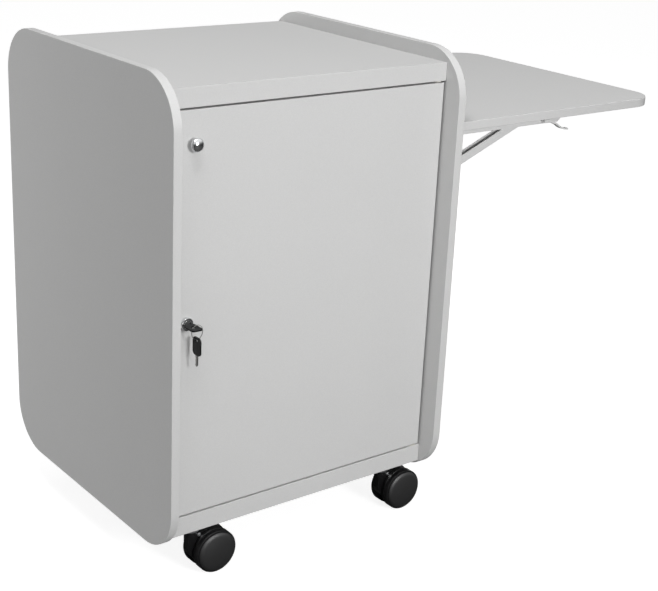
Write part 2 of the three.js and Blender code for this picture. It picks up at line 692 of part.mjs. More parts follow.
// Wall arm: flat plate with a pair of lugs at each pivot, and the two pivot pins
function buildWallArm({ suffix, middle }) {
  const lugInner = BRACE_WIDTH / 2 + SLIDE_GAP;
  const lugOuter = lugInner + LUG_THICKNESS;
  const plate = block(
    CABINET_WIDTH + FIT,
    CABINET_WIDTH + FIT + BRACKET_PLATE,
    middle - BRACKET_HALF_WIDTH,
    middle + BRACKET_HALF_WIDTH,
    BRACE_PIVOT_Z - BRACKET_PLATE_BELOW,
    BRACKET_PIVOT_Z + BRACKET_PLATE_ABOVE,
  );
  const lugs = [];
  const bores = [];
  for (const pivotZ of [BRACKET_PIVOT_Z, BRACE_PIVOT_Z]) {
    for (const side of [-1, 1]) {
      const faces = sideFaces(middle, side, lugInner, lugOuter);
      lugs.push(extrudeY(wallLug(pivotZ), faces[0], faces[1], 4));
    }
    const boreEnds = sideFaces(middle, 1, -BRACKET_HALF_WIDTH, BRACKET_HALF_WIDTH);
    bores.push(rodY(BRACKET_BORE, BRACKET_PIVOT_X, boreEnds[0], boreEnds[1], pivotZ));
  }
  addPart(`bracket_wall_arm_${suffix}`, cut(join(plate, ...lugs), ...bores), STEEL);

  const pins = [
    { name: 'shelf_pin', half: BRACKET_HALF_WIDTH + BRACKET_PIN_OVERHANG, level: BRACKET_PIVOT_Z },
    { name: 'brace_pin', half: lugOuter, level: BRACE_PIVOT_Z },
  ];
  for (const { name, half, level } of pins) {
    const pin = rodY(BRACKET_PIN_RADIUS, BRACKET_PIVOT_X, middle - half, middle + half, level);
    addPart(`bracket_${name}_${suffix}`, pin, STEEL);
  }
}

// Shelf arm: channel open downwards, its flanges rounded about the pivot
function buildShelfArm({ suffix, middle }) {
  const flangeInner = BRACE_WIDTH / 2 + LUG_THICKNESS + 2 * SLIDE_GAP;
  const near = BRACKET_PIVOT_X - ARM_DEPTH_BELOW;
  const far = BRACKET_PIVOT_X + ARM_LENGTH;
  const top = BRACKET_PIVOT_Z + ARM_DEPTH_ABOVE;
  const bottom = BRACKET_PIVOT_Z - ARM_DEPTH_BELOW;
  const flange = new THREE.Shape();
  flange.moveTo(far, top + 1);
  flange.lineTo(near, top + 1);
  flange.lineTo(near, BRACKET_PIVOT_Z);
  flange.absarc(BRACKET_PIVOT_X, BRACKET_PIVOT_Z, ARM_DEPTH_BELOW, Math.PI, 1.5 * Math.PI);
  flange.lineTo(far - ARM_NOSE_LENGTH, bottom);
  flange.lineTo(far, bottom + ARM_NOSE_RISE);
  const halfWidth = BRACKET_HALF_WIDTH;
  const web = block(near, far, middle - halfWidth, middle + halfWidth, top, top + ARM_PLATE);
  const boreHalf = halfWidth + 1;
  const leverBore = LEVER_BOSS_RADIUS + FIT;
  addPart(`bracket_shelf_arm_${suffix}`, cut(
    join(
      web,
      extrudeY(flange, middle - halfWidth, middle - flangeInner, 3),
      extrudeY(flange, middle + flangeInner, middle + halfWidth, 3),
    ),
    rodY(BRACKET_BORE, BRACKET_PIVOT_X, middle - boreHalf, middle + boreHalf, BRACKET_PIVOT_Z),
    rodY(leverBore, LEVER_PIVOT_X, middle - boreHalf, middle + boreHalf, LEVER_PIVOT_Z),
  ), STEEL);
}

// Diagonal brace: a bar with round ends, from the wall arm's lower pin up into the shelf arm
function buildBrace({ suffix, middle }) {
  const length = Math.hypot(BRACE_DROP, BRACE_REACH);
  const half = BRACE_HEIGHT / 2;
  const bar = new THREE.Shape();
  bar.moveTo(0, -half);
  bar.lineTo(length, -half);
  bar.absarc(length, 0, half, -Math.PI / 2, Math.PI / 2);
  bar.lineTo(0, half);
  bar.absarc(0, 0, half, Math.PI / 2, 1.5 * Math.PI);
  const rise = Math.atan2(BRACE_DROP, BRACE_REACH);
  const faces = sideFaces(middle, 1, -BRACE_WIDTH / 2, BRACE_WIDTH / 2);
  const boreTool = rodY(BRACKET_BORE, 0, faces[0] - 1, faces[1] + 1, 0);
  const brace = cut(extrudeY(bar, faces[0], faces[1], 4), boreTool);
  brace.rotateY(-rise).translate(BRACKET_PIVOT_X, 0, BRACE_PIVOT_Z);
  addPart(`bracket_brace_${suffix}`, brace, STEEL);
}

// Release lever: a bent strip outside the arm's flange, turning on a boss in the flange
function buildLever({ suffix, middle, outward }) {
  const x = LEVER_PIVOT_X;
  const z = LEVER_PIVOT_Z;
  const half = LEVER_THICKNESS / 2;
  const heelZ = z - LEVER_BOSS_RADIUS - half;
  const bendX = x + LEVER_BEND;
  const bendZ = z - LEVER_DROP / 2;
  const tipX = x + LEVER_TIP;
  const tipZ = z - LEVER_DROP;
  const strip = new THREE.Shape();
  strip.moveTo(x - LEVER_HEEL, z + half);
  strip.lineTo(x - LEVER_HEEL, heelZ);
  strip.lineTo(x + LEVER_STRAIGHT, heelZ);
  strip.quadraticCurveTo(x + LEVER_BEND / 2, heelZ - half, bendX, bendZ - half);
  strip.quadraticCurveTo(x + LEVER_FOOT, tipZ - half, tipX, tipZ - half);
  strip.lineTo(tipX, tipZ + half);
  strip.quadraticCurveTo(x + LEVER_FOOT + half, tipZ + half, bendX + half, bendZ + half);
  strip.quadraticCurveTo(x + LEVER_BEND / 2 + half, z - half, x + LEVER_STRAIGHT, z + half);
  const inner = BRACKET_HALF_WIDTH + SLIDE_GAP;
  const faces = sideFaces(middle, outward, inner, inner + LEVER_WIDTH);
  const tab = extrudeY(strip, faces[0], faces[1], 6);
  const bossEnds = sideFaces(middle, outward, inner - LEVER_BOSS_LENGTH, inner + LEVER_BOSS_LENGTH);
  const boss = rodY(LEVER_BOSS_RADIUS, x, bossEnds[0], bossEnds[1], z);
  addPart(`bracket_release_lever_${suffix}`, join(tab, boss), STEEL);
}

// Twin-wheel swivel caster, wheels trailing to the right of the stem
function buildCaster(suffix, stemX, stemY) {
  const plateTop = BASE_UNDERSIDE - FIT;
  const plateBottom = plateTop - CASTER_PLATE;
  const hubZ = FLOOR + WHEEL_RADIUS;
  const hubX = stemX + CASTER_TRAIL;
  const stem = turnedZ([
    [0, STEM_END],
    [STEM_RADIUS, STEM_END],
    [STEM_RADIUS, STEM_COLLAR_BOTTOM],
    [STEM_COLLAR_RADIUS, STEM_COLLAR_BOTTOM],
    [STEM_COLLAR_RADIUS, plateBottom + 1],
    [0, plateBottom + 1],
  ], stemX, stemY, 16);
  const plateOutline = roundedRectangle(
    stemX - CASTER_PLATE_HALF_LENGTH,
    stemX + CASTER_PLATE_HALF_LENGTH,
    stemY - CASTER_PLATE_HALF_WIDTH,
    stemY + CASTER_PLATE_HALF_WIDTH,
    2 * CASTER_PLATE,
  );
  addPart(`caster_mount_${suffix}`, join(stem, extrudeZ(plateOutline, plateBottom, plateTop, 1)), STEEL);

  // Hood: centre web between the wheels, with the stem socket at its leading end
  const noseX = stemX - HOOD_NOSE;
  const web = new THREE.Shape();
  web.absarc(hubX, hubZ, HOOD_RADIUS, -0.35 * Math.PI, 0.5 * Math.PI);
  web.lineTo(noseX, hubZ + HOOD_RADIUS);
  web.lineTo(noseX, hubZ + HOOD_NOSE);
  web.quadraticCurveTo(stemX, hubZ - HOOD_RADIUS / 2, hubX - HOOD_NOSE, hubZ - HOOD_RADIUS / 2);
  const webPlate = extrudeY(web, stemY - HOOD_HALF_WEB, stemY + HOOD_HALF_WEB, 6);
  const socket = rodZ(HOOD_SOCKET_RADIUS, stemX, stemY, HOOD_SOCKET_BOTTOM, HOOD_SOCKET_TOP);
  const stemBore = rodZ(STEM_RADIUS + FIT, stemX, stemY, STEM_END - FIT, HOOD_SOCKET_TOP + 1, 12);
  const axleBore = rodY(AXLE_RADIUS + FIT, hubX, stemY - AXLE_HALF_LENGTH, stemY + AXLE_HALF_LENGTH, hubZ);
  addPart(`caster_hood_${suffix}`, cut(join(webPlate, socket), stemBore, axleBore), BLACK_PLASTIC);

  const axle = rodY(AXLE_RADIUS, hubX, stemY - AXLE_HALF_LENGTH, stemY + AXLE_HALF_LENGTH, hubZ);
  addPart(`caster_axle_${suffix}`, axle, STEEL);

  // Wheels: flat inner face with a blind hub bore, round tread and a domed cover
  const inner = HOOD_HALF_WEB + 2 * FIT;
  const outer = inner + WHEEL_WIDTH;
  const axleEnd = AXLE_HALF_LENGTH + 2 * FIT;
  const wheelProfile = [
    [0, outer],
    [WHEEL_FACE_RADIUS, outer - WHEEL_FACE_DOME],
    [WHEEL_RIM_RADIUS, outer - WHEEL_RIM_DEPTH],
    [WHEEL_RADIUS, outer - WHEEL_SHOULDER],
    [WHEEL_RADIUS, inner + WHEEL_EDGE],
    [WHEEL_RADIUS - WHEEL_EDGE, inner],
    [AXLE_RADIUS + FIT, inner],
    [AXLE_RADIUS + FIT, axleEnd],
    [0, axleEnd],
  ];
  const rearProfile = [...wheelProfile].reverse();
  const frontProfile = wheelProfile.map(([radius, distance]) => [radius, -distance]);
  const front = turnedY(frontProfile, hubX, hubZ, WHEEL_SIDES).translate(0, stemY, 0);
  const rear = turnedY(rearProfile, hubX, hubZ, WHEEL_SIDES).translate(0, stemY, 0);
  addPart(`caster_wheel_${suffix}_a`, front, BLACK_PLASTIC);
  addPart(`caster_wheel_${suffix}_b`, rear, BLACK_PLASTIC);
}

buildCabinet();
buildInterior();
buildDoor();
buildLock();
buildShelf();
const casterRight = CABINET_WIDTH - CASTER_INSET_X;
const casterBack = CABINET_DEPTH - CASTER_INSET_Y;
buildCaster('front_left', CASTER_INSET_X, CASTER_INSET_Y);
buildCaster('front_right', casterRight, CASTER_INSET_Y);
buildCaster('rear_left', CASTER_INSET_X, casterBack);
buildCaster('rear_right', casterRight, casterBack);

export default cart;
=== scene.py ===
import math

import bmesh
import bpy
from mathutils import Matrix, Vector


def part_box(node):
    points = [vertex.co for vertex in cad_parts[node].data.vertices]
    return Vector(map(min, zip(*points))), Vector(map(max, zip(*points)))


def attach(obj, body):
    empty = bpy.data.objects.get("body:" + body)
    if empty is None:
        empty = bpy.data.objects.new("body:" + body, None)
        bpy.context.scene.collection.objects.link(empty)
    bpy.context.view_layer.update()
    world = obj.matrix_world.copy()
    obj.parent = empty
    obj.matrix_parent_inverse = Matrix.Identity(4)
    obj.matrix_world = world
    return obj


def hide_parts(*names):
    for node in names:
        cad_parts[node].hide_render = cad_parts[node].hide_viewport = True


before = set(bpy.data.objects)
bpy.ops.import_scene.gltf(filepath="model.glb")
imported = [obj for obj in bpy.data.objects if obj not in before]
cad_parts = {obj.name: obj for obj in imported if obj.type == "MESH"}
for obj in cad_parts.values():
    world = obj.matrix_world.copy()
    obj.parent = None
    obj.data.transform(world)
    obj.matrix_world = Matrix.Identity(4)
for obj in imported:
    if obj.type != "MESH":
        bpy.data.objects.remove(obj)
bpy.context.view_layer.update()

# Camera: it stands to the left of the door, a little above the cart's top, and looks down at it
# through a long lens. The slight turn about the line of sight is the photograph's own.
CAMERA_PLACE = Vector((-1.6007, -1.9941, 1.2779))
CAMERA_AIM = Vector((-0.2008, -0.2207, 0.4684))
CAMERA_TURN = math.radians(2.745)
CAMERA_LENS = 74.73

camera_data = bpy.data.cameras.new("photo_camera")
camera_data.lens = CAMERA_LENS
camera = bpy.data.objects.new("photo_camera", camera_data)
bpy.context.scene.collection.objects.link(camera)
look = (CAMERA_AIM - CAMERA_PLACE).to_track_quat("-Z", "Y").to_matrix().to_4x4()
camera.matrix_world = Matrix.Translation(CAMERA_PLACE) @ look @ Matrix.Rotation(CAMERA_TURN, 4, "Z")
bpy.context.scene.camera = camera

# Studio: a wide white paper floor, a soft lamp straight in front of the door, a larger one overhead
# and weak ones behind on both sides. Even light all round fills the shadows, as a white room does.
FLOOR_HALF = 20.0
FLOOR_GREY = 0.42
FLOOR_MIRRORED = 0.08
FLOOR_GLOW = 0.86
PAPER_ROUGHNESS = 0.95
ROOM_LIGHT = 0.27
BACKDROP_WHITE = FLOOR_GLOW + FLOOR_GREY * ROOM_LIGHT
MIRROR_LOW = 0.10
MIRROR_HIGH = 1.0
WALL_FOOT = 0.0
WALL_HEAD = 0.55
KEY_PLACE = Vector((-0.26, -2.5, 1.2))
KEY_SIZE = 0.6
KEY_WATTS = 32.4
TOP_PLACE = Vector((-1.2, -1.0, 4.4))
TOP_SIZE = 2.0
TOP_WATTS = 91
SIDE_PLACE = Vector((-1.9, 1.7, 0.55))
SIDE_SIZE = 0.8
SIDE_WATTS = 11.5
FILL_PLACE = Vector((2.4, 1.2, 0.9))
FILL_SIZE = 1.2
FILL_WATTS = 7
LAMP_AIM = Vector((-0.1, 0.0, 0.5))


def paper_floor():
    """A pale sheet that keeps the shadow. Only the camera sees its glow; shiny pieces see it dark."""
    paper = bpy.data.materials.new("floor_paper")
    paper.use_nodes = True
    nodes, links = paper.node_tree.nodes, paper.node_tree.links
    shader = nodes["Principled BSDF"]
    shader.inputs["Roughness"].default_value = PAPER_ROUGHNESS
    shader.inputs["Specular IOR Level"].default_value = 0.0
    shader.inputs["Emission Color"].default_value = (1, 1, 1, 1)
    glow = nodes.new("ShaderNodeMath")
    glow.operation = "MULTIPLY"
    glow.inputs[1].default_value = FLOOR_GLOW
    path = nodes.new("ShaderNodeLightPath")
    links.new(path.outputs["Is Camera Ray"], glow.inputs[0])
    links.new(glow.outputs[0], shader.inputs["Emission Strength"])
    grey = nodes.new("ShaderNodeMapRange")
    grey.inputs["To Min"].default_value = FLOOR_GREY
    grey.inputs["To Max"].default_value = FLOOR_MIRRORED
    links.new(path.outputs["Is Glossy Ray"], grey.inputs["Value"])
    links.new(grey.outputs["Result"], shader.inputs["Base Color"])
    mesh = bpy.data.meshes.new("studio_floor")
    half = FLOOR_HALF
    corners = [(-half, -half, 0), (half, -half, 0), (half, half, 0), (-half, half, 0)]
    mesh.from_pydata(corners, [], [(0, 1, 2, 3)])
    mesh.materials.append(paper)
    floor = bpy.data.objects.new("studio_floor", mesh)
    bpy.context.scene.collection.objects.link(floor)


def soft_lamp(name, place, size, watts):
    """A round soft lamp that faces the middle of the cart."""
    data = bpy.data.lights.new(name, "AREA")
    data.shape = "DISK"
    data.size = size
    data.energy = watts
    lamp = bpy.data.objects.new(name, data)
    bpy.context.scene.collection.objects.link(lamp)
    facing = (LAMP_AIM - place).to_track_quat("-Z", "Y").to_matrix().to_4x4()
    lamp.matrix_world = Matrix.Translation(place) @ facing


def white_room():
    """Even light all round; shiny pieces mirror a room that is dark low down and white overhead."""
    world = bpy.data.worlds.new("white_room")
    bpy.context.scene.world = world
    world.use_nodes = True
    nodes, links = world.node_tree.nodes, world.node_tree.links
    room = nodes["Background"]
    room.inputs["Color"].default_value = (1, 1, 1, 1)
    path = nodes.new("ShaderNodeLightPath")
    place = nodes.new("ShaderNodeTexCoord")
    height = nodes.new("ShaderNodeSeparateXYZ")
    links.new(place.outputs["Generated"], height.inputs["Vector"])
    mirrored = nodes.new("ShaderNodeMapRange")
    mirrored.interpolation_type = "SMOOTHSTEP"
    mirrored.inputs["From Min"].default_value = WALL_FOOT
    mirrored.inputs["From Max"].default_value = WALL_HEAD
    mirrored.inputs["To Min"].default_value = MIRROR_LOW
    mirrored.inputs["To Max"].default_value = MIRROR_HIGH
    links.new(height.outputs["Z"], mirrored.inputs["Value"])
    shine = nodes.new("ShaderNodeMapRange")
    shine.inputs["To Min"].default_value = ROOM_LIGHT
    links.new(path.outputs["Is Glossy Ray"], shine.inputs["Value"])
    links.new(mirrored.outputs["Result"], shine.inputs["To Max"])
    strength = nodes.new("ShaderNodeMapRange")
    strength.inputs["To Max"].default_value = BACKDROP_WHITE
    links.new(path.outputs["Is Camera Ray"], strength.inputs["Value"])
    links.new(shine.outputs["Result"], strength.inputs["To Min"])
    links.new(strength.outputs["Result"], room.inputs["Strength"])


paper_floor()
soft_lamp("key_lamp", KEY_PLACE, KEY_SIZE, KEY_WATTS)
soft_lamp("top_lamp", TOP_PLACE, TOP_SIZE, TOP_WATTS)
soft_lamp("side_lamp", SIDE_PLACE, SIDE_SIZE, SIDE_WATTS)
soft_lamp("fill_lamp", FILL_PLACE, FILL_SIZE, FILL_WATTS)
white_room()
bpy.context.scene.view_settings.view_transform = "Standard"

# Side panels: two upright boards of 16 mm chipboard faced with grey melamine, cut with large
# rounded corners. A lighter plastic band is glued round the whole edge and its arrises are eased.
SIDE_CORNER = 0.086
ARC_STEPS = 24
EDGE_EASE = 0.0009
SHARP_ANGLE = math.radians(35)
EASED_ANGLE = math.radians(40)
EASED_SEGMENTS = 2
WELD_REACH = 1e-5
GRAIN_DETAIL = 3
PATCHES_PER_METRE = 9
PATCH_DETAIL = 4
COLOUR_SPREAD = 0.25
POLISH_SPAN = (0.3, 0.7)
AXIS_ORDER = {"X": (2, 0, 1), "Y": (0, 2, 1), "Z": (0, 1, 2)}
LAMINATE_DARK = (0.570, 0.570, 0.567)
LAMINATE_LIGHT = (0.625, 0.625, 0.622)
BAND_DARK = (0.590, 0.590, 0.587)
BAND_LIGHT = (0.640, 0.640, 0.637)


def speckled_finish(name, dark, light, grain, rough, bump, metal=0.0, patches=0.5, shine=0.5):
    """A finish that drifts between two colours: a fine grain over broad soft patches."""
    finish = bpy.data.materials.new(name)
    finish.use_nodes = True
    nodes, links = finish.node_tree.nodes, finish.node_tree.links
    shader = nodes["Principled BSDF"]
    shader.inputs["Metallic"].default_value = metal
    shader.inputs["Specular IOR Level"].default_value = shine
    place = nodes.new("ShaderNodeTexCoord")
    fine = nodes.new("ShaderNodeTexNoise")
    fine.inputs["Scale"].default_value = 1 / grain
    fine.inputs["Detail"].default_value = GRAIN_DETAIL
    broad = nodes.new("ShaderNodeTexNoise")
    broad.inputs["Scale"].default_value = PATCHES_PER_METRE
    broad.inputs["Detail"].default_value = PATCH_DETAIL
    for noise in (fine, broad):
        links.new(place.outputs["Object"], noise.inputs["Vector"])
    both = nodes.new("ShaderNodeMath")
    both.operation = "MULTIPLY_ADD"
    both.inputs[1].default_value = patches
    links.new(broad.outputs["Fac"], both.inputs[0])
    links.new(fine.outputs["Fac"], both.inputs[2])
    middle = 0.5 + 0.5 * patches
    # Sockets 6 to 10 of the colour ramp are its value, the two ends of it, and the two colours.
    ramp = nodes.new("ShaderNodeMapRange")
    ramp.data_type = "FLOAT_VECTOR"
    ramp.inputs[7].default_value = [middle - COLOUR_SPREAD] * 3
    ramp.inputs[8].default_value = [middle + COLOUR_SPREAD] * 3
    ramp.inputs[9].default_value = dark
    ramp.inputs[10].default_value = light
    links.new(both.outputs[0], ramp.inputs[6])
    links.new(ramp.outputs[1], shader.inputs["Base Color"])

    polish = nodes.new("ShaderNodeMapRange")
    polish.inputs["From Min"].default_value = POLISH_SPAN[0]
    polish.inputs["From Max"].default_value = POLISH_SPAN[1]
    polish.inputs["To Min"].default_value = rough[0]
    polish.inputs["To Max"].default_value = rough[1]
    links.new(broad.outputs["Fac"], polish.inputs["Value"])
    links.new(polish.outputs["Result"], shader.inputs["Roughness"])

    relief = nodes.new("ShaderNodeBump")
    relief.inputs["Strength"].default_value = bump
    relief.inputs["Distance"].default_value = grain
    links.new(fine.outputs["Fac"], relief.inputs["Height"])
    links.new(relief.outputs["Normal"], shader.inputs["Normal"])
    return finish


def rounded_outline(low, high, radii):
    """A rectangle's outline, anticlockwise from its low corner, with arcs at its rounded corners."""
    corners = [(low[0], low[1]), (high[0], low[1]), (high[0], high[1]), (low[0], high[1])]
    points = []
    for quarter, ((u, v), radius) in enumerate(zip(corners, radii)):
        centre_u = u + radius if u == low[0] else u - radius
        centre_v = v + radius if v == low[1] else v - radius
        for step in range(ARC_STEPS + 1 if radius else 1):
            angle = math.pi * (1 + quarter / 2 + step / ARC_STEPS / 2)
            reach_u, reach_v = radius * math.cos(angle), radius * math.sin(angle)
            points.append((centre_u + reach_u, centre_v + reach_v))
    return points


def slab(shape, outline, span, along, edge_index=0):
    """Adds a flat piece to a mesh in the making: an outline pushed over a span along one axis."""
    order = AXIS_ORDER[along]
    rings = []
    for level in span:
        points = [(u, v, level) for u, v in outline]
        rings.append([shape.verts.new([point[axis] for axis in order]) for point in points])
    near, far = rings
    shape.faces.new(near)
    shape.faces.new(far)
    for index in range(len(outline)):
        after = (index + 1) % len(outline)
        face = shape.faces.new((near[index], near[after], far[after], far[index]))
        face.material_index = edge_index


def mesh_of(shape, name):
    """Closes a mesh in the making: faces turned outwards, smooth except at sharp edges."""
    bmesh.ops.recalc_face_normals(shape, faces=shape.faces)
    mesh = bpy.data.meshes.new(name)
    shape.to_mesh(mesh)
    shape.free()
    mesh.shade_smooth()
    mesh.set_sharp_from_angle(angle=SHARP_ANGLE)
    return mesh


def add_piece(name, shape, body, slot, *finishes):
    """Makes a finished piece of a mesh in the making and sets the body that it rides on."""
    piece = bpy.data.objects.new(name, mesh_of(shape, name))
    bpy.context.scene.collection.objects.link(piece)
    for finish in finishes:
        piece.data.materials.append(finish)
    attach(piece, body)
    return piece


def ease_edges(piece, width):
    """Rounds off a piece's sharp edges a little, so that they catch the light."""
    weld = piece.modifiers.new("joined_corners", "WELD")
    weld.merge_threshold = WELD_REACH
    ease = piece.modifiers.new("eased_edges", "BEVEL")
    ease.width = width
    ease.segments = EASED_SEGMENTS
    ease.limit_method = "ANGLE"
    ease.angle_limit = EASED_ANGLE
    ease.harden_normals = True


laminate = speckled_finish(
    "grey_laminate", LAMINATE_DARK, LAMINATE_LIGHT,
    grain=0.0011, rough=(0.72, 0.82), bump=0.10, patches=0.12,
)
edge_band = speckled_finish(
    "edge_band", BAND_DARK, BAND_LIGHT, grain=0.0016, rough=(0.34, 0.44), bump=0.05, patches=0.12
)

for side in ("left", "right"):
    low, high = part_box(f"side_panel_{side}")
    outline = rounded_outline(low.yz, high.yz, [SIDE_CORNER] * 4)
    panel_shape = bmesh.new()
    slab(panel_shape, outline, (low.x, high.x), "X", edge_index=1)
    panel = add_piece(f"side_board_{side}", panel_shape, "cabinet", "laminate", laminate, edge_band)
    ease_edges(panel, EDGE_EASE)
    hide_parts(f"side_panel_{side}")

# Top, base, middle shelf and back: the cross boards between the side panels, of the same laminated
# board, dowelled and screwed from inside. The back has rows of air slots cut through it.
BOARD_EASE = 0.0007


def dress(node, finish, ease):
    """Gives a part of the frame its finish and eased edges."""
    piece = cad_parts[node]
    piece.data.materials.clear()
    piece.data.materials.append(finish)
    ease_edges(piece, ease)


for node in ("top_panel", "base_panel", "mid_shelf", "back_panel"):
    dress(node, laminate, BOARD_EASE)

# Back screws: zinc-plated pan-head screws that hold the back to the top, the base and the middle
# shelf, with a round driver socket in each head.
SCREW_RADIUS = 0.0036
SCREW_HEIGHT = 0.0020
SCREW_STEPS = 18
SCREW_PROFILE = [(0, 0), (1, 0), (1, 0.35), (0.85, 0.8), (0.5, 1), (0.38, 1), (0.3, 0.35), (0, 0.3)]
BACK_SCREW_INSET = 0.010
BACK_SCREWS_PER_ROW = 5
ZINC_DARK = (0.52, 0.53, 0.54)
ZINC_LIGHT = (0.74, 0.75, 0.76)


def turn(shape, profile, centre, axis, steps, index=0):
    """Adds a turned body to a mesh in the making: radius and distance points about an axis."""
    axis = Vector(axis).normalized()
    across = axis.orthogonal().normalized()
    aside = axis.cross(across)
    rings = []
    for radius, distance in profile:
        middle = Vector(centre) + axis * distance
        count = steps if radius > 0 else 1
        ring = []
        for step in range(count):
            angle = 2 * math.pi * step / steps
            offset = across * math.cos(angle) + aside * math.sin(angle)
            ring.append(shape.verts.new(middle + offset * radius))
        rings.append(ring)
    for first, second in zip(rings, rings[1:]):
        for step in range(steps):
            after = (step + 1) % steps
            corners = [first[step % len(first)], first[after % len(first)]]
            corners += [second[after % len(second)], second[step % len(second)]]
            face = shape.faces.new(list(dict.fromkeys(corners)))
            face.material_index = index


def screw_head(shape, centre, axis, radius=SCREW_RADIUS, height=SCREW_HEIGHT):
    """Adds a screw's head; its profile is in shares of the head's radius and height."""
    profile = [(radius * outward, height * upward) for outward, upward in SCREW_PROFILE]
    turn(shape, profile, centre, axis, SCREW_STEPS)


zinc = speckled_finish(
    "zinc_plate", ZINC_DARK, ZINC_LIGHT, grain=0.0024, rough=(0.24, 0.40), bump=0.06, metal=1.0
)
back_low, back_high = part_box("back_panel")
shelf_low, shelf_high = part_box("mid_shelf")
shelf_middle = (shelf_low.z + shelf_high.z) / 2
screws = bmesh.new()
for level in (back_low.z + BACK_SCREW_INSET, shelf_middle, back_high.z - BACK_SCREW_INSET):
    for place in range(BACK_SCREWS_PER_ROW):
        share = (place + 0.5) / BACK_SCREWS_PER_ROW
        x = back_low.x + (back_high.x - back_low.x) * share
        screw_head(screws, (x, back_high.y, level), (0, 1, 0))
add_piece("back_screws", screws, "cabinet", "steel", zinc)

# Mains inlet: a moulded black appliance inlet clipped through the back, with three flat metal pins
# and a screw at each side of its flange.
PIN_SKIN = 0.0002
PIN_PITCH = 0.007
PIN_HALF = Vector((0.001, 0.008, 0.002))
PIN_DROP = 0.002
EARTH_RISE = 0.005
PIN_END_FROM_FLANGE = 0.0073
INLET_SCREW_INSET = 0.004
INLET_SCREW_RADIUS = 0.0026
INLET_SCREW_HEIGHT = 0.0014
SQUARE_CORNERS = (0, 0, 0, 0)
MOULDING_EASE = 0.0008
BLACK_DARK = (0.012, 0.012, 0.013)
BLACK_LIGHT = (0.022, 0.022, 0.024)

black_moulding = speckled_finish(
    "black_moulding", BLACK_DARK, BLACK_LIGHT, grain=0.0009, rough=(0.38, 0.50), bump=0.12
)
dress("mains_inlet", black_moulding, MOULDING_EASE)
inlet_low, inlet_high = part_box("mains_inlet")
inlet_middle = (inlet_low + inlet_high) / 2
pins = bmesh.new()
for place in (-1, 0, 1):
    rise = EARTH_RISE if place == 0 else 0
    centre_x = inlet_middle.x + place * PIN_PITCH
    centre_z = inlet_middle.z - PIN_DROP + rise
    low = (centre_x - PIN_HALF.x - PIN_SKIN, centre_z - PIN_HALF.z - PIN_SKIN)
    high = (centre_x + PIN_HALF.x + PIN_SKIN, centre_z + PIN_HALF.z + PIN_SKIN)
    pin_end = inlet_high.y - PIN_END_FROM_FLANGE + PIN_SKIN
    pin_outline = rounded_outline(low, high, SQUARE_CORNERS)
    slab(pins, pin_outline, (pin_end - 2 * PIN_HALF.y, pin_end), "Y")
add_piece("inlet_pins", pins, "cabinet", "steel", zinc)
inlet_screws = bmesh.new()
for x in (inlet_low.x + INLET_SCREW_INSET, inlet_high.x - INLET_SCREW_INSET):
    screw_place = (x, inlet_high.y, inlet_middle.z)
    screw_head(inlet_screws, screw_place, (0, 1, 0), INLET_SCREW_RADIUS, INLET_SCREW_HEIGHT)
add_piece("inlet_screws", inlet_screws, "cabinet", "steel", zinc)

# Laptop racks: one moulded grey comb on each level, which drops onto the board below it and keeps
# the laptops apart on edge. Its walls have rounded top and front edges.
RACK_EASE = 0.0014
RACK_DARK = (0.085, 0.088, 0.092)
RACK_LIGHT = (0.118, 0.122, 0.126)

rack_moulding = speckled_finish(
    "rack_moulding", RACK_DARK, RACK_LIGHT, grain=0.0013, rough=(0.48, 0.62), bump=0.20
)
for level in ("lower", "upper"):
    dress(f"laptop_rack_{level}", rack_moulding, RACK_EASE)

# Power strips: a long black moulded housing screwed to the back behind each rack, with a row of round
# outlet faces, each a raised ring round a shallow dish with three contact slots. The slots are not cut
# as holes: they are flat near-black patches, painted shade where the deep openings would be.
OUTLETS = 10
OUTLET_RADIUS = 0.0165
OUTLET_RIM = 0.0014
OUTLET_RIM_WALL = 0.7
OUTLET_RIM_BEVEL = 0.0006
OUTLET_RIM_WIDTH = 0.0018
OUTLET_DISH_INSET = 0.0026
OUTLET_FLOOR = 0.0004
OUTLET_STEPS = 28
SLOT_HALF = (0.0011, 0.0032)
SLOT_SPREAD = 0.0058
SLOT_PLACES = ((-1, 0.3), (1, 0.3), (0, -1))
SLOT_SKIN = 0.0006
SOCKET_DARK = (0.045, 0.045, 0.048)
SOCKET_LIGHT = (0.070, 0.070, 0.074)
# Near-black for the contact slots: painted shade that stands for the dark inside of the openings.
SLOT_SHADE_DARK = (0.002, 0.002, 0.002)
SLOT_SHADE_LIGHT = (0.005, 0.005, 0.005)

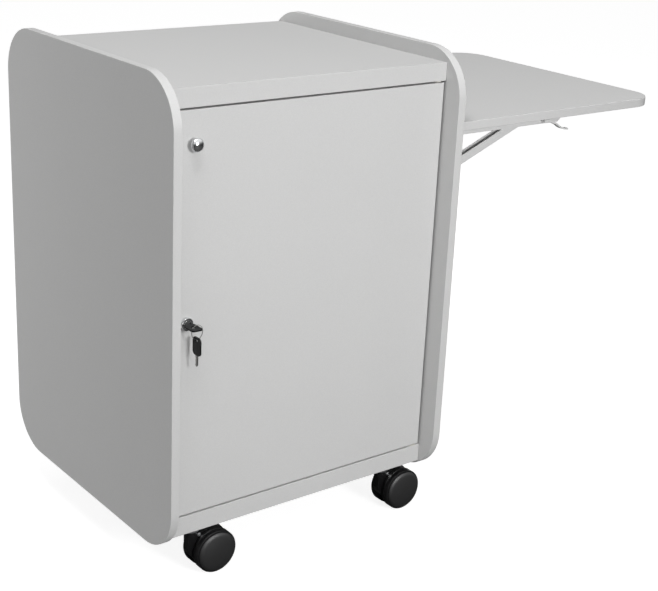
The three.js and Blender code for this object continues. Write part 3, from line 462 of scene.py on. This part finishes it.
socket_moulding = speckled_finish(
    "socket_moulding", SOCKET_DARK, SOCKET_LIGHT, grain=0.0009, rough=(0.34, 0.46), bump=0.10
)
# The slots' finish is painted shade, not a moulding colour.
slot_shade = speckled_finish(
    "slot_shade", SLOT_SHADE_DARK, SLOT_SHADE_LIGHT, grain=0.0009, rough=(0.8, 0.9), bump=0.05
)
for level in ("lower", "upper"):
    strip = f"power_strip_{level}"
    dress(strip, black_moulding, MOULDING_EASE)
    low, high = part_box(strip)
    faces = bmesh.new()
    for place in range(OUTLETS):
        x = low.x + (high.x - low.x) * (place + 0.5) / OUTLETS
        z = (low.z + high.z) / 2
        face_profile = [
            (0, 0),
            (OUTLET_RADIUS, 0),
            (OUTLET_RADIUS, OUTLET_RIM * OUTLET_RIM_WALL),
            (OUTLET_RADIUS - OUTLET_RIM_BEVEL, OUTLET_RIM),
            (OUTLET_RADIUS - OUTLET_RIM_WIDTH, OUTLET_RIM),
            (OUTLET_RADIUS - OUTLET_DISH_INSET, OUTLET_FLOOR),
            (0, OUTLET_FLOOR),
        ]
        turn(faces, face_profile, (x, low.y, z), (0, -1, 0), OUTLET_STEPS)
        for across, rise in SLOT_PLACES:
            middle = (x + across * SLOT_SPREAD, z + rise * SLOT_SPREAD)
            slot_low = (middle[0] - SLOT_HALF[0], middle[1] - SLOT_HALF[1])
            slot_high = (middle[0] + SLOT_HALF[0], middle[1] + SLOT_HALF[1])
            first = len(faces.faces)
            slot_outline = rounded_outline(slot_low, slot_high, SQUARE_CORNERS)
            slab(faces, slot_outline, (low.y - SLOT_SKIN, low.y), "Y")
            faces.faces.ensure_lookup_table()
            for face in faces.faces[first:]:
                face.material_index = 1
    add_piece(f"{strip}_outlets", faces, "cabinet", "strip_plastic", socket_moulding, slot_shade)

# Door: one board of the same laminate, hung on a steel pin at top and bottom of its right edge.
# The pins turn in nylon bushes let into the top and the base.
NYLON_DARK = (0.60, 0.585, 0.53)
NYLON_LIGHT = (0.70, 0.685, 0.63)
PIVOT_EASE = 0.0003

nylon = speckled_finish(
    "natural_nylon", NYLON_DARK, NYLON_LIGHT, grain=0.0012, rough=(0.42, 0.55), bump=0.08
)
dress("door_panel", laminate, BOARD_EASE)
for end in ("top", "bottom"):
    dress(f"door_pivot_pin_{end}", zinc, PIVOT_EASE)
    dress(f"door_pivot_bush_{end}", nylon, PIVOT_EASE)

# Door stop: a black moulded strip pressed up under the top, close behind the door, in the gap above
# it. Its black is painted shade that keeps the gap looking dark. It ends short of the pivot, where the
# door's edge swings in.
STOP_GAP = 0.001
STOP_DEPTH = 0.008
STOP_DROP = 0.010
STOP_CORNER = 0.003
STOP_INSET = 0.004
STOP_PIVOT_ROOM = 0.040

door_low, door_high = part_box("door_panel")
stop_low = (door_high.y + STOP_GAP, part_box("top_panel")[0].z - STOP_DROP)
stop_high = (door_high.y + STOP_GAP + STOP_DEPTH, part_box("top_panel")[0].z)
stop_outline = rounded_outline(stop_low, stop_high, [STOP_CORNER, STOP_CORNER, 0, 0])
stop_shape = bmesh.new()
slab(stop_shape, stop_outline, (door_low.x + STOP_INSET, door_high.x - STOP_PIVOT_ROOM), "X")
# Black here is painted shade: the strip keeps the gap above the door dark.
add_piece("door_gap_shade_strip", stop_shape, "cabinet", "strip_plastic", black_moulding)

# Door knob: a short turned pull, chrome-plated, with a rounded head on a narrow neck. A screw
# through the door holds it by its neck.
KNOB_RADIUS = 0.0115
KNOB_NECK = 0.0070
KNOB_HEAD_HALF = 0.0068
KNOB_HEAD_STEPS = 22
KNOB_HEAD_SWEEP = math.radians(140)
KNOB_STEPS = 56
CHROME_DARK = (0.70, 0.71, 0.72)
CHROME_LIGHT = (0.80, 0.81, 0.82)

chrome = speckled_finish(
    "bright_chrome", CHROME_DARK, CHROME_LIGHT, grain=0.0030, rough=(0.14, 0.22), bump=0.01, metal=1.0
)
knob_low, knob_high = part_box("door_knob")
knob_reach = knob_high.y - knob_low.y
knob_centre = ((knob_low.x + knob_high.x) / 2, knob_high.y, (knob_low.z + knob_high.z) / 2)
head_middle = knob_reach - KNOB_HEAD_HALF
head_profile = [(0, knob_reach)]
for step in range(1, KNOB_HEAD_STEPS + 1):
    angle = math.pi / 2 - KNOB_HEAD_SWEEP * step / KNOB_HEAD_STEPS
    distance = head_middle + KNOB_HEAD_HALF * math.sin(angle)
    head_profile.append((KNOB_RADIUS * math.cos(angle), distance))
neck_profile = [(KNOB_NECK, head_profile[-1][1]), (KNOB_NECK, 0), (0, 0)]
knob_shape = bmesh.new()
turn(knob_shape, head_profile + neck_profile, knob_centre, (0, -1, 0), KNOB_STEPS)
knob = add_piece("pull_knob", knob_shape, "door", "chrome", chrome)
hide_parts("door_knob")

# Cam lock: a chrome barrel pushed through the door with a bezel on the front, a plug that turns in
# it, and a steel cam on the plug's tail that catches behind an angle strike on the left panel.
BARREL_BORE = 0.0065
BARREL_RADIUS = 0.0095
BEZEL_RADIUS = 0.0112
BEZEL_FIT = 0.0003
BEZEL_ROUND = ((0.0016, 0), (0.0006, 0.0003), (0, 0.0012))
BORE_EASE = 0.0006
BARREL_STEPS = 48
PLUG_EASE = 0.0002
CAM_EASE = 0.0004
JOIN_REACH = 1e-6

barrel_low, barrel_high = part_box("lock_barrel")
barrel_length = barrel_high.y - barrel_low.y
bezel_depth = door_low.y - barrel_low.y - BEZEL_FIT
lock_x = (barrel_low.x + barrel_high.x) / 2
lock_z = (barrel_low.z + barrel_high.z) / 2
barrel_profile = [
    (BARREL_BORE, BORE_EASE),
    (BARREL_BORE + BORE_EASE, 0),
    *[(BEZEL_RADIUS - inset, distance) for inset, distance in BEZEL_ROUND],
    (BEZEL_RADIUS, bezel_depth),
    (BARREL_RADIUS, bezel_depth),
    (BARREL_RADIUS, barrel_length),
    (BARREL_BORE, barrel_length),
    (BARREL_BORE, BORE_EASE),
]
barrel_shape = bmesh.new()
turn(barrel_shape, barrel_profile, (lock_x, barrel_low.y, lock_z), (0, 1, 0), BARREL_STEPS)
bmesh.ops.remove_doubles(barrel_shape, verts=barrel_shape.verts, dist=JOIN_REACH)
barrel = add_piece("lock_body", barrel_shape, "door", "chrome", chrome)
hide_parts("lock_barrel")
dress("lock_plug", chrome, PLUG_EASE)
dress("lock_cam", zinc, CAM_EASE)
dress("lock_strike", zinc, CAM_EASE)

# Keys: flat keys with a moulded black bow and a nickel-plated blade. One is in the lock with its bow
# level; the spare hangs from it on a split ring of spring wire that passes through both bows.
BOW_EASE = 0.0007
BOW_CORNER = 0.0050
BOW_HALF_WIDTH = 0.0100
BOW_GAP = 0.001
KEY_HOLE = 0.0046
BLADE_HALF = 0.0032
BLADE_THICKNESS = 0.0016
BLADE_EASE = 0.0002
BLADE_TUCK = 0.0008
BLADE_TIP = 0.003
SPARE_CORNER = 0.0070
SPARE_HOLE = 0.0030
SPARE_BOW_LENGTH = 0.031
SPARE_HOLE_FROM_TOP = 0.0056
SPARE_TUCK = 0.0006
TOOTH_START = 0.0036
PLAIN_BLADE = 0.006
TOOTH_SHARES = (0.35, 0.55, 0.95)
TOOTH_DEPTHS = (0.0010, 0.0017, 0.0007, 0.0015, 0.0011)
RING_WIRE = 0.00042
RING_TURNS = 2
RING_STEPS = 36
WIRE_STEPS = 10
BOW_DARK = (0.005, 0.005, 0.005)
BOW_LIGHT = (0.011, 0.011, 0.012)
NICKEL_DARK = (0.20, 0.20, 0.195)
NICKEL_LIGHT = (0.32, 0.315, 0.30)

bow_moulding = speckled_finish(
    "key_bow_moulding", BOW_DARK, BOW_LIGHT, grain=0.0007, rough=(0.40, 0.52), bump=0.10, shine=0.22
)
nickel = speckled_finish(
    "nickel_plate", NICKEL_DARK, NICKEL_LIGHT, grain=0.0016, rough=(0.22, 0.36), bump=0.04, metal=1.0
)


def holed_plate(shape, outline, hole, hole_radius, span, along):
    """Adds a flat plate with a round hole: each outline point is joined to the hole's edge."""
    order = AXIS_ORDER[along]
    rings = []
    for level in span:
        outer, inner = [], []
        for u, v in outline:
            reach = Vector((u - hole[0], v - hole[1])).normalized() * hole_radius
            edge = (hole[0] + reach.x, hole[1] + reach.y, level)
            outer.append(shape.verts.new([(u, v, level)[axis] for axis in order]))
            inner.append(shape.verts.new([edge[axis] for axis in order]))
        rings.append((outer, inner))
    (near_outer, near_inner), (far_outer, far_inner) = rings
    flat_sides = ((near_outer, near_inner), (far_outer, far_inner))
    edges = ((near_outer, far_outer), (near_inner, far_inner))
    for first, second in flat_sides + edges:
        for index in range(len(outline)):
            after = (index + 1) % len(outline)
            shape.faces.new((first[index], first[after], second[after], second[index]))


def wire(shape, path, radius):
    """Adds a round wire along a path of points to a mesh in the making, with closed ends."""
    rings = []
    for index, point in enumerate(path):
        ahead = path[min(index + 1, len(path) - 1)] - path[max(index - 1, 0)]
        across = ahead.cross(Vector((0, 1, 0))).normalized()
        aside = ahead.cross(across).normalized()
        ring = []
        for step in range(WIRE_STEPS):
            angle = 2 * math.pi * step / WIRE_STEPS
            offset = across * math.cos(angle) + aside * math.sin(angle)
            ring.append(shape.verts.new(point + offset * radius))
        rings.append(ring)
    for first, second in zip(rings, rings[1:]):
        for step in range(WIRE_STEPS):
            after = (step + 1) % WIRE_STEPS
            shape.faces.new((first[step], first[after], second[after], second[step]))
    shape.faces.new(rings[0])
    shape.faces.new(rings[-1])


key_low, key_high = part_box("lock_key")
ring_low, ring_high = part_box("key_ring")
ring_centre = (ring_low + ring_high) / 2
bow_rear = barrel_low.y - BOW_GAP
bow_outline = rounded_outline(
    (lock_x - BOW_HALF_WIDTH, key_low.y), (lock_x + BOW_HALF_WIDTH, bow_rear), [BOW_CORNER] * 4
)
bow_shape = bmesh.new()
bow_hole = (lock_x, ring_centre.y)
holed_plate(bow_shape, bow_outline, bow_hole, KEY_HOLE, (key_low.z, key_high.z), "Z")
bow = add_piece("key_bow", bow_shape, "lock_cylinder", "key_plastic", bow_moulding)
ease_edges(bow, BOW_EASE)
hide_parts("lock_key")
blade_shape = bmesh.new()
blade_low = (lock_x - BLADE_HALF, bow_rear - BLADE_TUCK)
blade_high = (lock_x + BLADE_HALF, key_high.y)
blade_span = (lock_z - BLADE_THICKNESS / 2, lock_z + BLADE_THICKNESS / 2)
slab(blade_shape, rounded_outline(blade_low, blade_high, SQUARE_CORNERS), blade_span, "Z")
ease_edges(add_piece("key_blade", blade_shape, "lock_cylinder", "steel", nickel), BLADE_EASE)

spare_low, spare_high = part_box("spare_key")
spare_x = (spare_low.x + spare_high.x) / 2
bow_bottom = spare_high.z - SPARE_BOW_LENGTH
spare_outline = rounded_outline(
    (spare_low.y, bow_bottom), (spare_high.y, spare_high.z), [SPARE_CORNER] * 4
)
spare_hole = (ring_centre.y, spare_high.z - SPARE_HOLE_FROM_TOP)
spare_shape = bmesh.new()
holed_plate(spare_shape, spare_outline, spare_hole, SPARE_HOLE, (spare_low.x, spare_high.x), "X")
spare_bow = add_piece("spare_key_bow", spare_shape, "spare_key_set", "key_plastic", bow_moulding)
ease_edges(spare_bow, BOW_EASE)
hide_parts("spare_key")
tooth_pitch = (bow_bottom - spare_low.z - PLAIN_BLADE) / len(TOOTH_DEPTHS)
plain_y = ring_centre.y - BLADE_HALF
toothed_y = ring_centre.y + BLADE_HALF
blade_top = bow_bottom + SPARE_TUCK
blade_edge = [(plain_y, blade_top), (plain_y, spare_low.z + BLADE_TIP)]
blade_edge += [(ring_centre.y, spare_low.z), (toothed_y, spare_low.z + BLADE_TIP)]
for place, depth in enumerate(TOOTH_DEPTHS):
    base = spare_low.z + TOOTH_START + place * tooth_pitch
    fall, flat, rise = [base + tooth_pitch * share for share in TOOTH_SHARES]
    blade_edge += [(toothed_y - depth, fall), (toothed_y - depth, flat), (toothed_y, rise)]
blade_edge.append((toothed_y, blade_top))
spare_blade_shape = bmesh.new()
spare_span = (spare_x - BLADE_THICKNESS / 2, spare_x + BLADE_THICKNESS / 2)
slab(spare_blade_shape, blade_edge, spare_span, "X")
spare_blade = add_piece("spare_key_blade", spare_blade_shape, "spare_key_set", "steel", nickel)
ease_edges(spare_blade, BLADE_EASE)

ring_reach = (ring_high.x - ring_low.x) / 2 - 2 * RING_WIRE
ring_drop = (ring_high.z - ring_low.z) / 2 - 2 * RING_WIRE
ring_path = []
for step in range(RING_STEPS * RING_TURNS + 1):
    angle = 2 * math.pi * step / RING_STEPS
    shift = (step / (RING_STEPS * RING_TURNS) - 0.5) * 2 * RING_WIRE
    offset = Vector((ring_reach * math.cos(angle), shift, ring_drop * math.sin(angle)))
    ring_path.append(ring_centre + offset)
ring_shape = bmesh.new()
wire(ring_shape, ring_path, RING_WIRE)
ring = add_piece("split_ring", ring_shape, "spare_key_set", "steel", nickel)
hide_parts("key_ring")

# Side shelf: one board of the same laminate with two rounded outer corners and the same light band
# round its edge, screwed down onto the two folding brackets.
SHELF_CORNER = 0.060

low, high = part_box("side_shelf")
shelf_outline = rounded_outline(low.xy, high.xy, [0, SHELF_CORNER, SHELF_CORNER, 0])
shelf_shape = bmesh.new()
slab(shelf_shape, shelf_outline, (low.z, high.z), "Z", edge_index=1)
shelf = add_piece("shelf_board", shelf_shape, "shelf", "laminate", laminate, edge_band)
ease_edges(shelf, EDGE_EASE)
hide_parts("side_shelf")

# Shelf brackets: pressed steel, powder-coated light grey. A plate screwed to the side panel carries
# the shelf's arm and, below it, a brace of folded channel; a thin lever under the arm frees the brace.
BRACKET_EASE = 0.0006
COAT_DARK = (0.660, 0.660, 0.657)
COAT_LIGHT = (0.740, 0.740, 0.737)
BRACE_WALL = 0.0018
BRACE_END_ANGLES = (18, 40, 65, 90)
BRACE_EASE = 0.0005
BRACE_PIN_EASE = 0.0003
RIVET_RADIUS = 0.0055
RIVET_HEIGHT = 0.0024
RIVET_PROFILE = [(0, 0), (1, 0), (1, 0.3), (0.8, 0.75), (0.4, 1), (0, 1)]
RIVET_SEAT = 0.001
RIVET_STEPS = 24
WALL_PLATE = 0.004
ARM_SHEET = 0.003
WALL_SCREW_LEVELS = (-0.015, 0.022, 0.058)
ARM_SCREW_REACHES = (0.043, 0.273)


def brace_stations(length, half):
    """Places along the brace with its half height there: round ends, straight between."""
    ends = [math.radians(angle) for angle in BRACE_END_ANGLES]
    near = [(-half * math.cos(angle), half * math.sin(angle)) for angle in ends]
    far = [(length + half * math.cos(angle), half * math.sin(angle)) for angle in reversed(ends)]
    return near + far


def channel_brace(shape, foot, head, half_width, half):
    """Adds a folded channel, open upwards, from the foot pivot to the head pivot."""
    line = head - foot
    ahead = line.normalized()
    upward = Vector((-ahead.z, 0, ahead.x))
    aside = Vector((0, 1, 0))
    rings = []
    for place, rise in brace_stations(line.length, half):
        floor = min(-rise + BRACE_WALL, rise - BRACE_WALL / 4)
        inner = half_width - BRACE_WALL
        section = [(-half_width, rise), (-half_width, -rise)]
        section += [(half_width, -rise), (half_width, rise)]
        section += [(inner, rise), (inner, floor), (-inner, floor), (-inner, rise)]
        middle = foot + ahead * place
        points = [middle + aside * across + upward * up for across, up in section]
        rings.append([shape.verts.new(point) for point in points])
    for first, second in zip(rings, rings[1:]):
        for index in range(len(first)):
            after = (index + 1) % len(first)
            shape.faces.new((first[index], first[after], second[after], second[index]))
    # Each end is closed with one face for each wall of the channel.
    for ring in (rings[0], rings[-1]):
        for quad in ((0, 1, 6, 7), (1, 2, 5, 6), (2, 3, 4, 5)):
            shape.faces.new([ring[corner] for corner in quad])


powder_coat = speckled_finish(
    "bracket_coat", COAT_DARK, COAT_LIGHT, grain=0.0010, rough=(0.34, 0.46), bump=0.14
)
for place in ("front", "rear"):
    for piece in ("wall_arm", "shelf_arm", "release_lever"):
        dress(f"bracket_{piece}_{place}", powder_coat, BRACKET_EASE)
    dress(f"bracket_shelf_pin_{place}", zinc, BRACKET_EASE)
    dress(f"bracket_brace_pin_{place}", zinc, BRACE_PIN_EASE)
    pin_low, pin_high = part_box(f"bracket_brace_pin_{place}")
    shelf_pin_low, shelf_pin_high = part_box(f"bracket_shelf_pin_{place}")
    brace_low, brace_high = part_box(f"bracket_brace_{place}")
    foot = (pin_low + pin_high) / 2
    hinge = (shelf_pin_low + shelf_pin_high) / 2
    half_width = (brace_high.y - brace_low.y) / 2
    half = foot.z - brace_low.z
    head = Vector((brace_high.x - half, foot.y, brace_high.z - half))
    brace_shape = bmesh.new()
    channel_brace(brace_shape, foot, head, half_width, half)
    brace_body = f"brace_{place}"
    brace = add_piece(f"brace_channel_{place}", brace_shape, brace_body, "bracket_steel", powder_coat)
    ease_edges(brace, BRACE_EASE)
    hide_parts(f"bracket_brace_{place}")

    fixings = bmesh.new()
    dome = [(RIVET_RADIUS * share, RIVET_HEIGHT * rise) for share, rise in RIVET_PROFILE]
    for outward in (-1, 1):
        end = hinge.y + outward * (shelf_pin_high.y - shelf_pin_low.y) / 2
        rivet_seat = (hinge.x, end - outward * RIVET_SEAT, hinge.z)
        turn(fixings, dome, rivet_seat, (0, outward, 0), RIVET_STEPS)
    wall_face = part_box(f"bracket_wall_arm_{place}")[0].x + WALL_PLATE
    for rise in WALL_SCREW_LEVELS:
        screw_head(fixings, (wall_face, hinge.y, foot.z + rise), (1, 0, 0))
    add_piece(f"bracket_wall_fixings_{place}", fixings, "cabinet", "bracket_steel", zinc)

    arm_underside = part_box(f"bracket_shelf_arm_{place}")[1].z - ARM_SHEET
    arm_screws = bmesh.new()
    for reach in ARM_SCREW_REACHES:
        screw_head(arm_screws, (hinge.x + reach, hinge.y, arm_underside), (0, 0, -1))
    add_piece(f"bracket_arm_screws_{place}", arm_screws, "shelf", "bracket_steel", zinc)

# Casters: twin wheels moulded in black nylon, each with a domed cover and a grooved tread, on a steel
# axle in a black hood. The hood turns on a plated stem whose plate is screwed under the base.
# The profiles give the radius and the distance from the wheel's inner face.
HOOD_EASE = 0.0012
PLATE_EASE = 0.0005
AXLE_EASE = 0.0003
COVER_DARK = (0.006, 0.006, 0.006)
COVER_LIGHT = (0.012, 0.012, 0.013)
TREAD_DARK = (0.004, 0.004, 0.004)
TREAD_LIGHT = (0.009, 0.009, 0.010)
WHEEL_STEPS = 72
TREAD_PROFILE = [
    (0.0060, 0.0),
    (0.0380, 0.0),
    (0.0393, 0.0004),
    (0.0400, 0.0014),
    (0.0400, 0.0062),
    (0.0394, 0.0067),
    (0.0394, 0.0073),
    (0.0400, 0.0078),
    (0.0400, 0.0150),
    (0.0396, 0.0158),
    (0.0385, 0.0163),
    (0.0360, 0.0165),
    (0.0356, 0.0170),
]
COVER_PROFILE = [
    (0.0356, 0.0170),
    (0.0364, 0.0172),
    (0.0368, 0.0177),
    (0.0367, 0.0184),
    (0.0362, 0.0191),
    (0.0353, 0.0198),
    (0.0330, 0.0210),
    (0.0316, 0.0215),
    (0.0290, 0.0220),
    (0.0200, 0.0232),
    (0.0100, 0.0238),
    (0.0, 0.0240),
]
HOOD_PIN_PLACE = (0.0135, -0.008)
HOOD_PIN_RADIUS = 0.0038
HOOD_PIN_HEIGHT = 0.0014
HOOD_HALF_WEB = 0.0072
SIDES_LEVEL = 0.082
PLATE_SHEET = 0.003
PLATE_SCREW_INSET = 0.007
PLATE_SCREW_RADIUS = 0.0032
PLATE_SCREW_HEIGHT = 0.0018

cover_moulding = speckled_finish(
    "caster_cover", COVER_DARK, COVER_LIGHT, grain=0.0008, rough=(0.46, 0.54), bump=0.12, shine=1.0
)
tread_moulding = speckled_finish(
    "caster_tread", TREAD_DARK, TREAD_LIGHT, grain=0.0008, rough=(0.30, 0.42), bump=0.10
)
for corner in ("front_left", "front_right", "rear_left", "rear_right"):
    dress(f"caster_mount_{corner}", zinc, PLATE_EASE)
    dress(f"caster_axle_{corner}", zinc, AXLE_EASE)
    dress(f"caster_hood_{corner}", tread_moulding, HOOD_EASE)
    axle_low, axle_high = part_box(f"caster_axle_{corner}")
    axle = (axle_low + axle_high) / 2
    for wheel, outward in (("a", -1), ("b", 1)):
        node = f"caster_wheel_{corner}_{wheel}"
        low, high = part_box(node)
        inner = high.y if outward < 0 else low.y
        centre = (axle.x, inner, axle.z)
        wheel_shape = bmesh.new()
        turn(wheel_shape, [(0, 0)] + TREAD_PROFILE, centre, (0, outward, 0), WHEEL_STEPS, 0)
        turn(wheel_shape, COVER_PROFILE, centre, (0, outward, 0), WHEEL_STEPS, 1)
        bmesh.ops.remove_doubles(wheel_shape, verts=wheel_shape.verts, dist=JOIN_REACH)
        name = f"wheel_moulding_{corner}_{wheel}"
        body = f"wheel_{corner}_{wheel}"
        finishes = (tread_moulding, cover_moulding)
        finished = add_piece(name, wheel_shape, body, "caster_plastic", *finishes)
        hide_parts(node)
    mount_low, mount_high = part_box(f"caster_mount_{corner}")
    stem = (mount_low + mount_high) / 2
    pins = bmesh.new()
    for outward in (-1, 1):
        pin_face = stem.y + outward * HOOD_HALF_WEB
        pin_centre = (stem.x + HOOD_PIN_PLACE[0], pin_face, SIDES_LEVEL + HOOD_PIN_PLACE[1])
        screw_head(pins, pin_centre, (0, outward, 0), HOOD_PIN_RADIUS, HOOD_PIN_HEIGHT)
    add_piece(f"caster_hood_pins_{corner}", pins, f"caster_{corner}", "steel", zinc)
    plate_screws = bmesh.new()
    for x in (mount_low.x + PLATE_SCREW_INSET, mount_high.x - PLATE_SCREW_INSET):
        for y in (mount_low.y + PLATE_SCREW_INSET, mount_high.y - PLATE_SCREW_INSET):
            screw_place = (x, y, mount_high.z - PLATE_SHEET)
            screw_head(plate_screws, screw_place, (0, 0, -1), PLATE_SCREW_RADIUS, PLATE_SCREW_HEIGHT)
    add_piece(f"caster_plate_screws_{corner}", plate_screws, "cabinet", "steel", zinc)
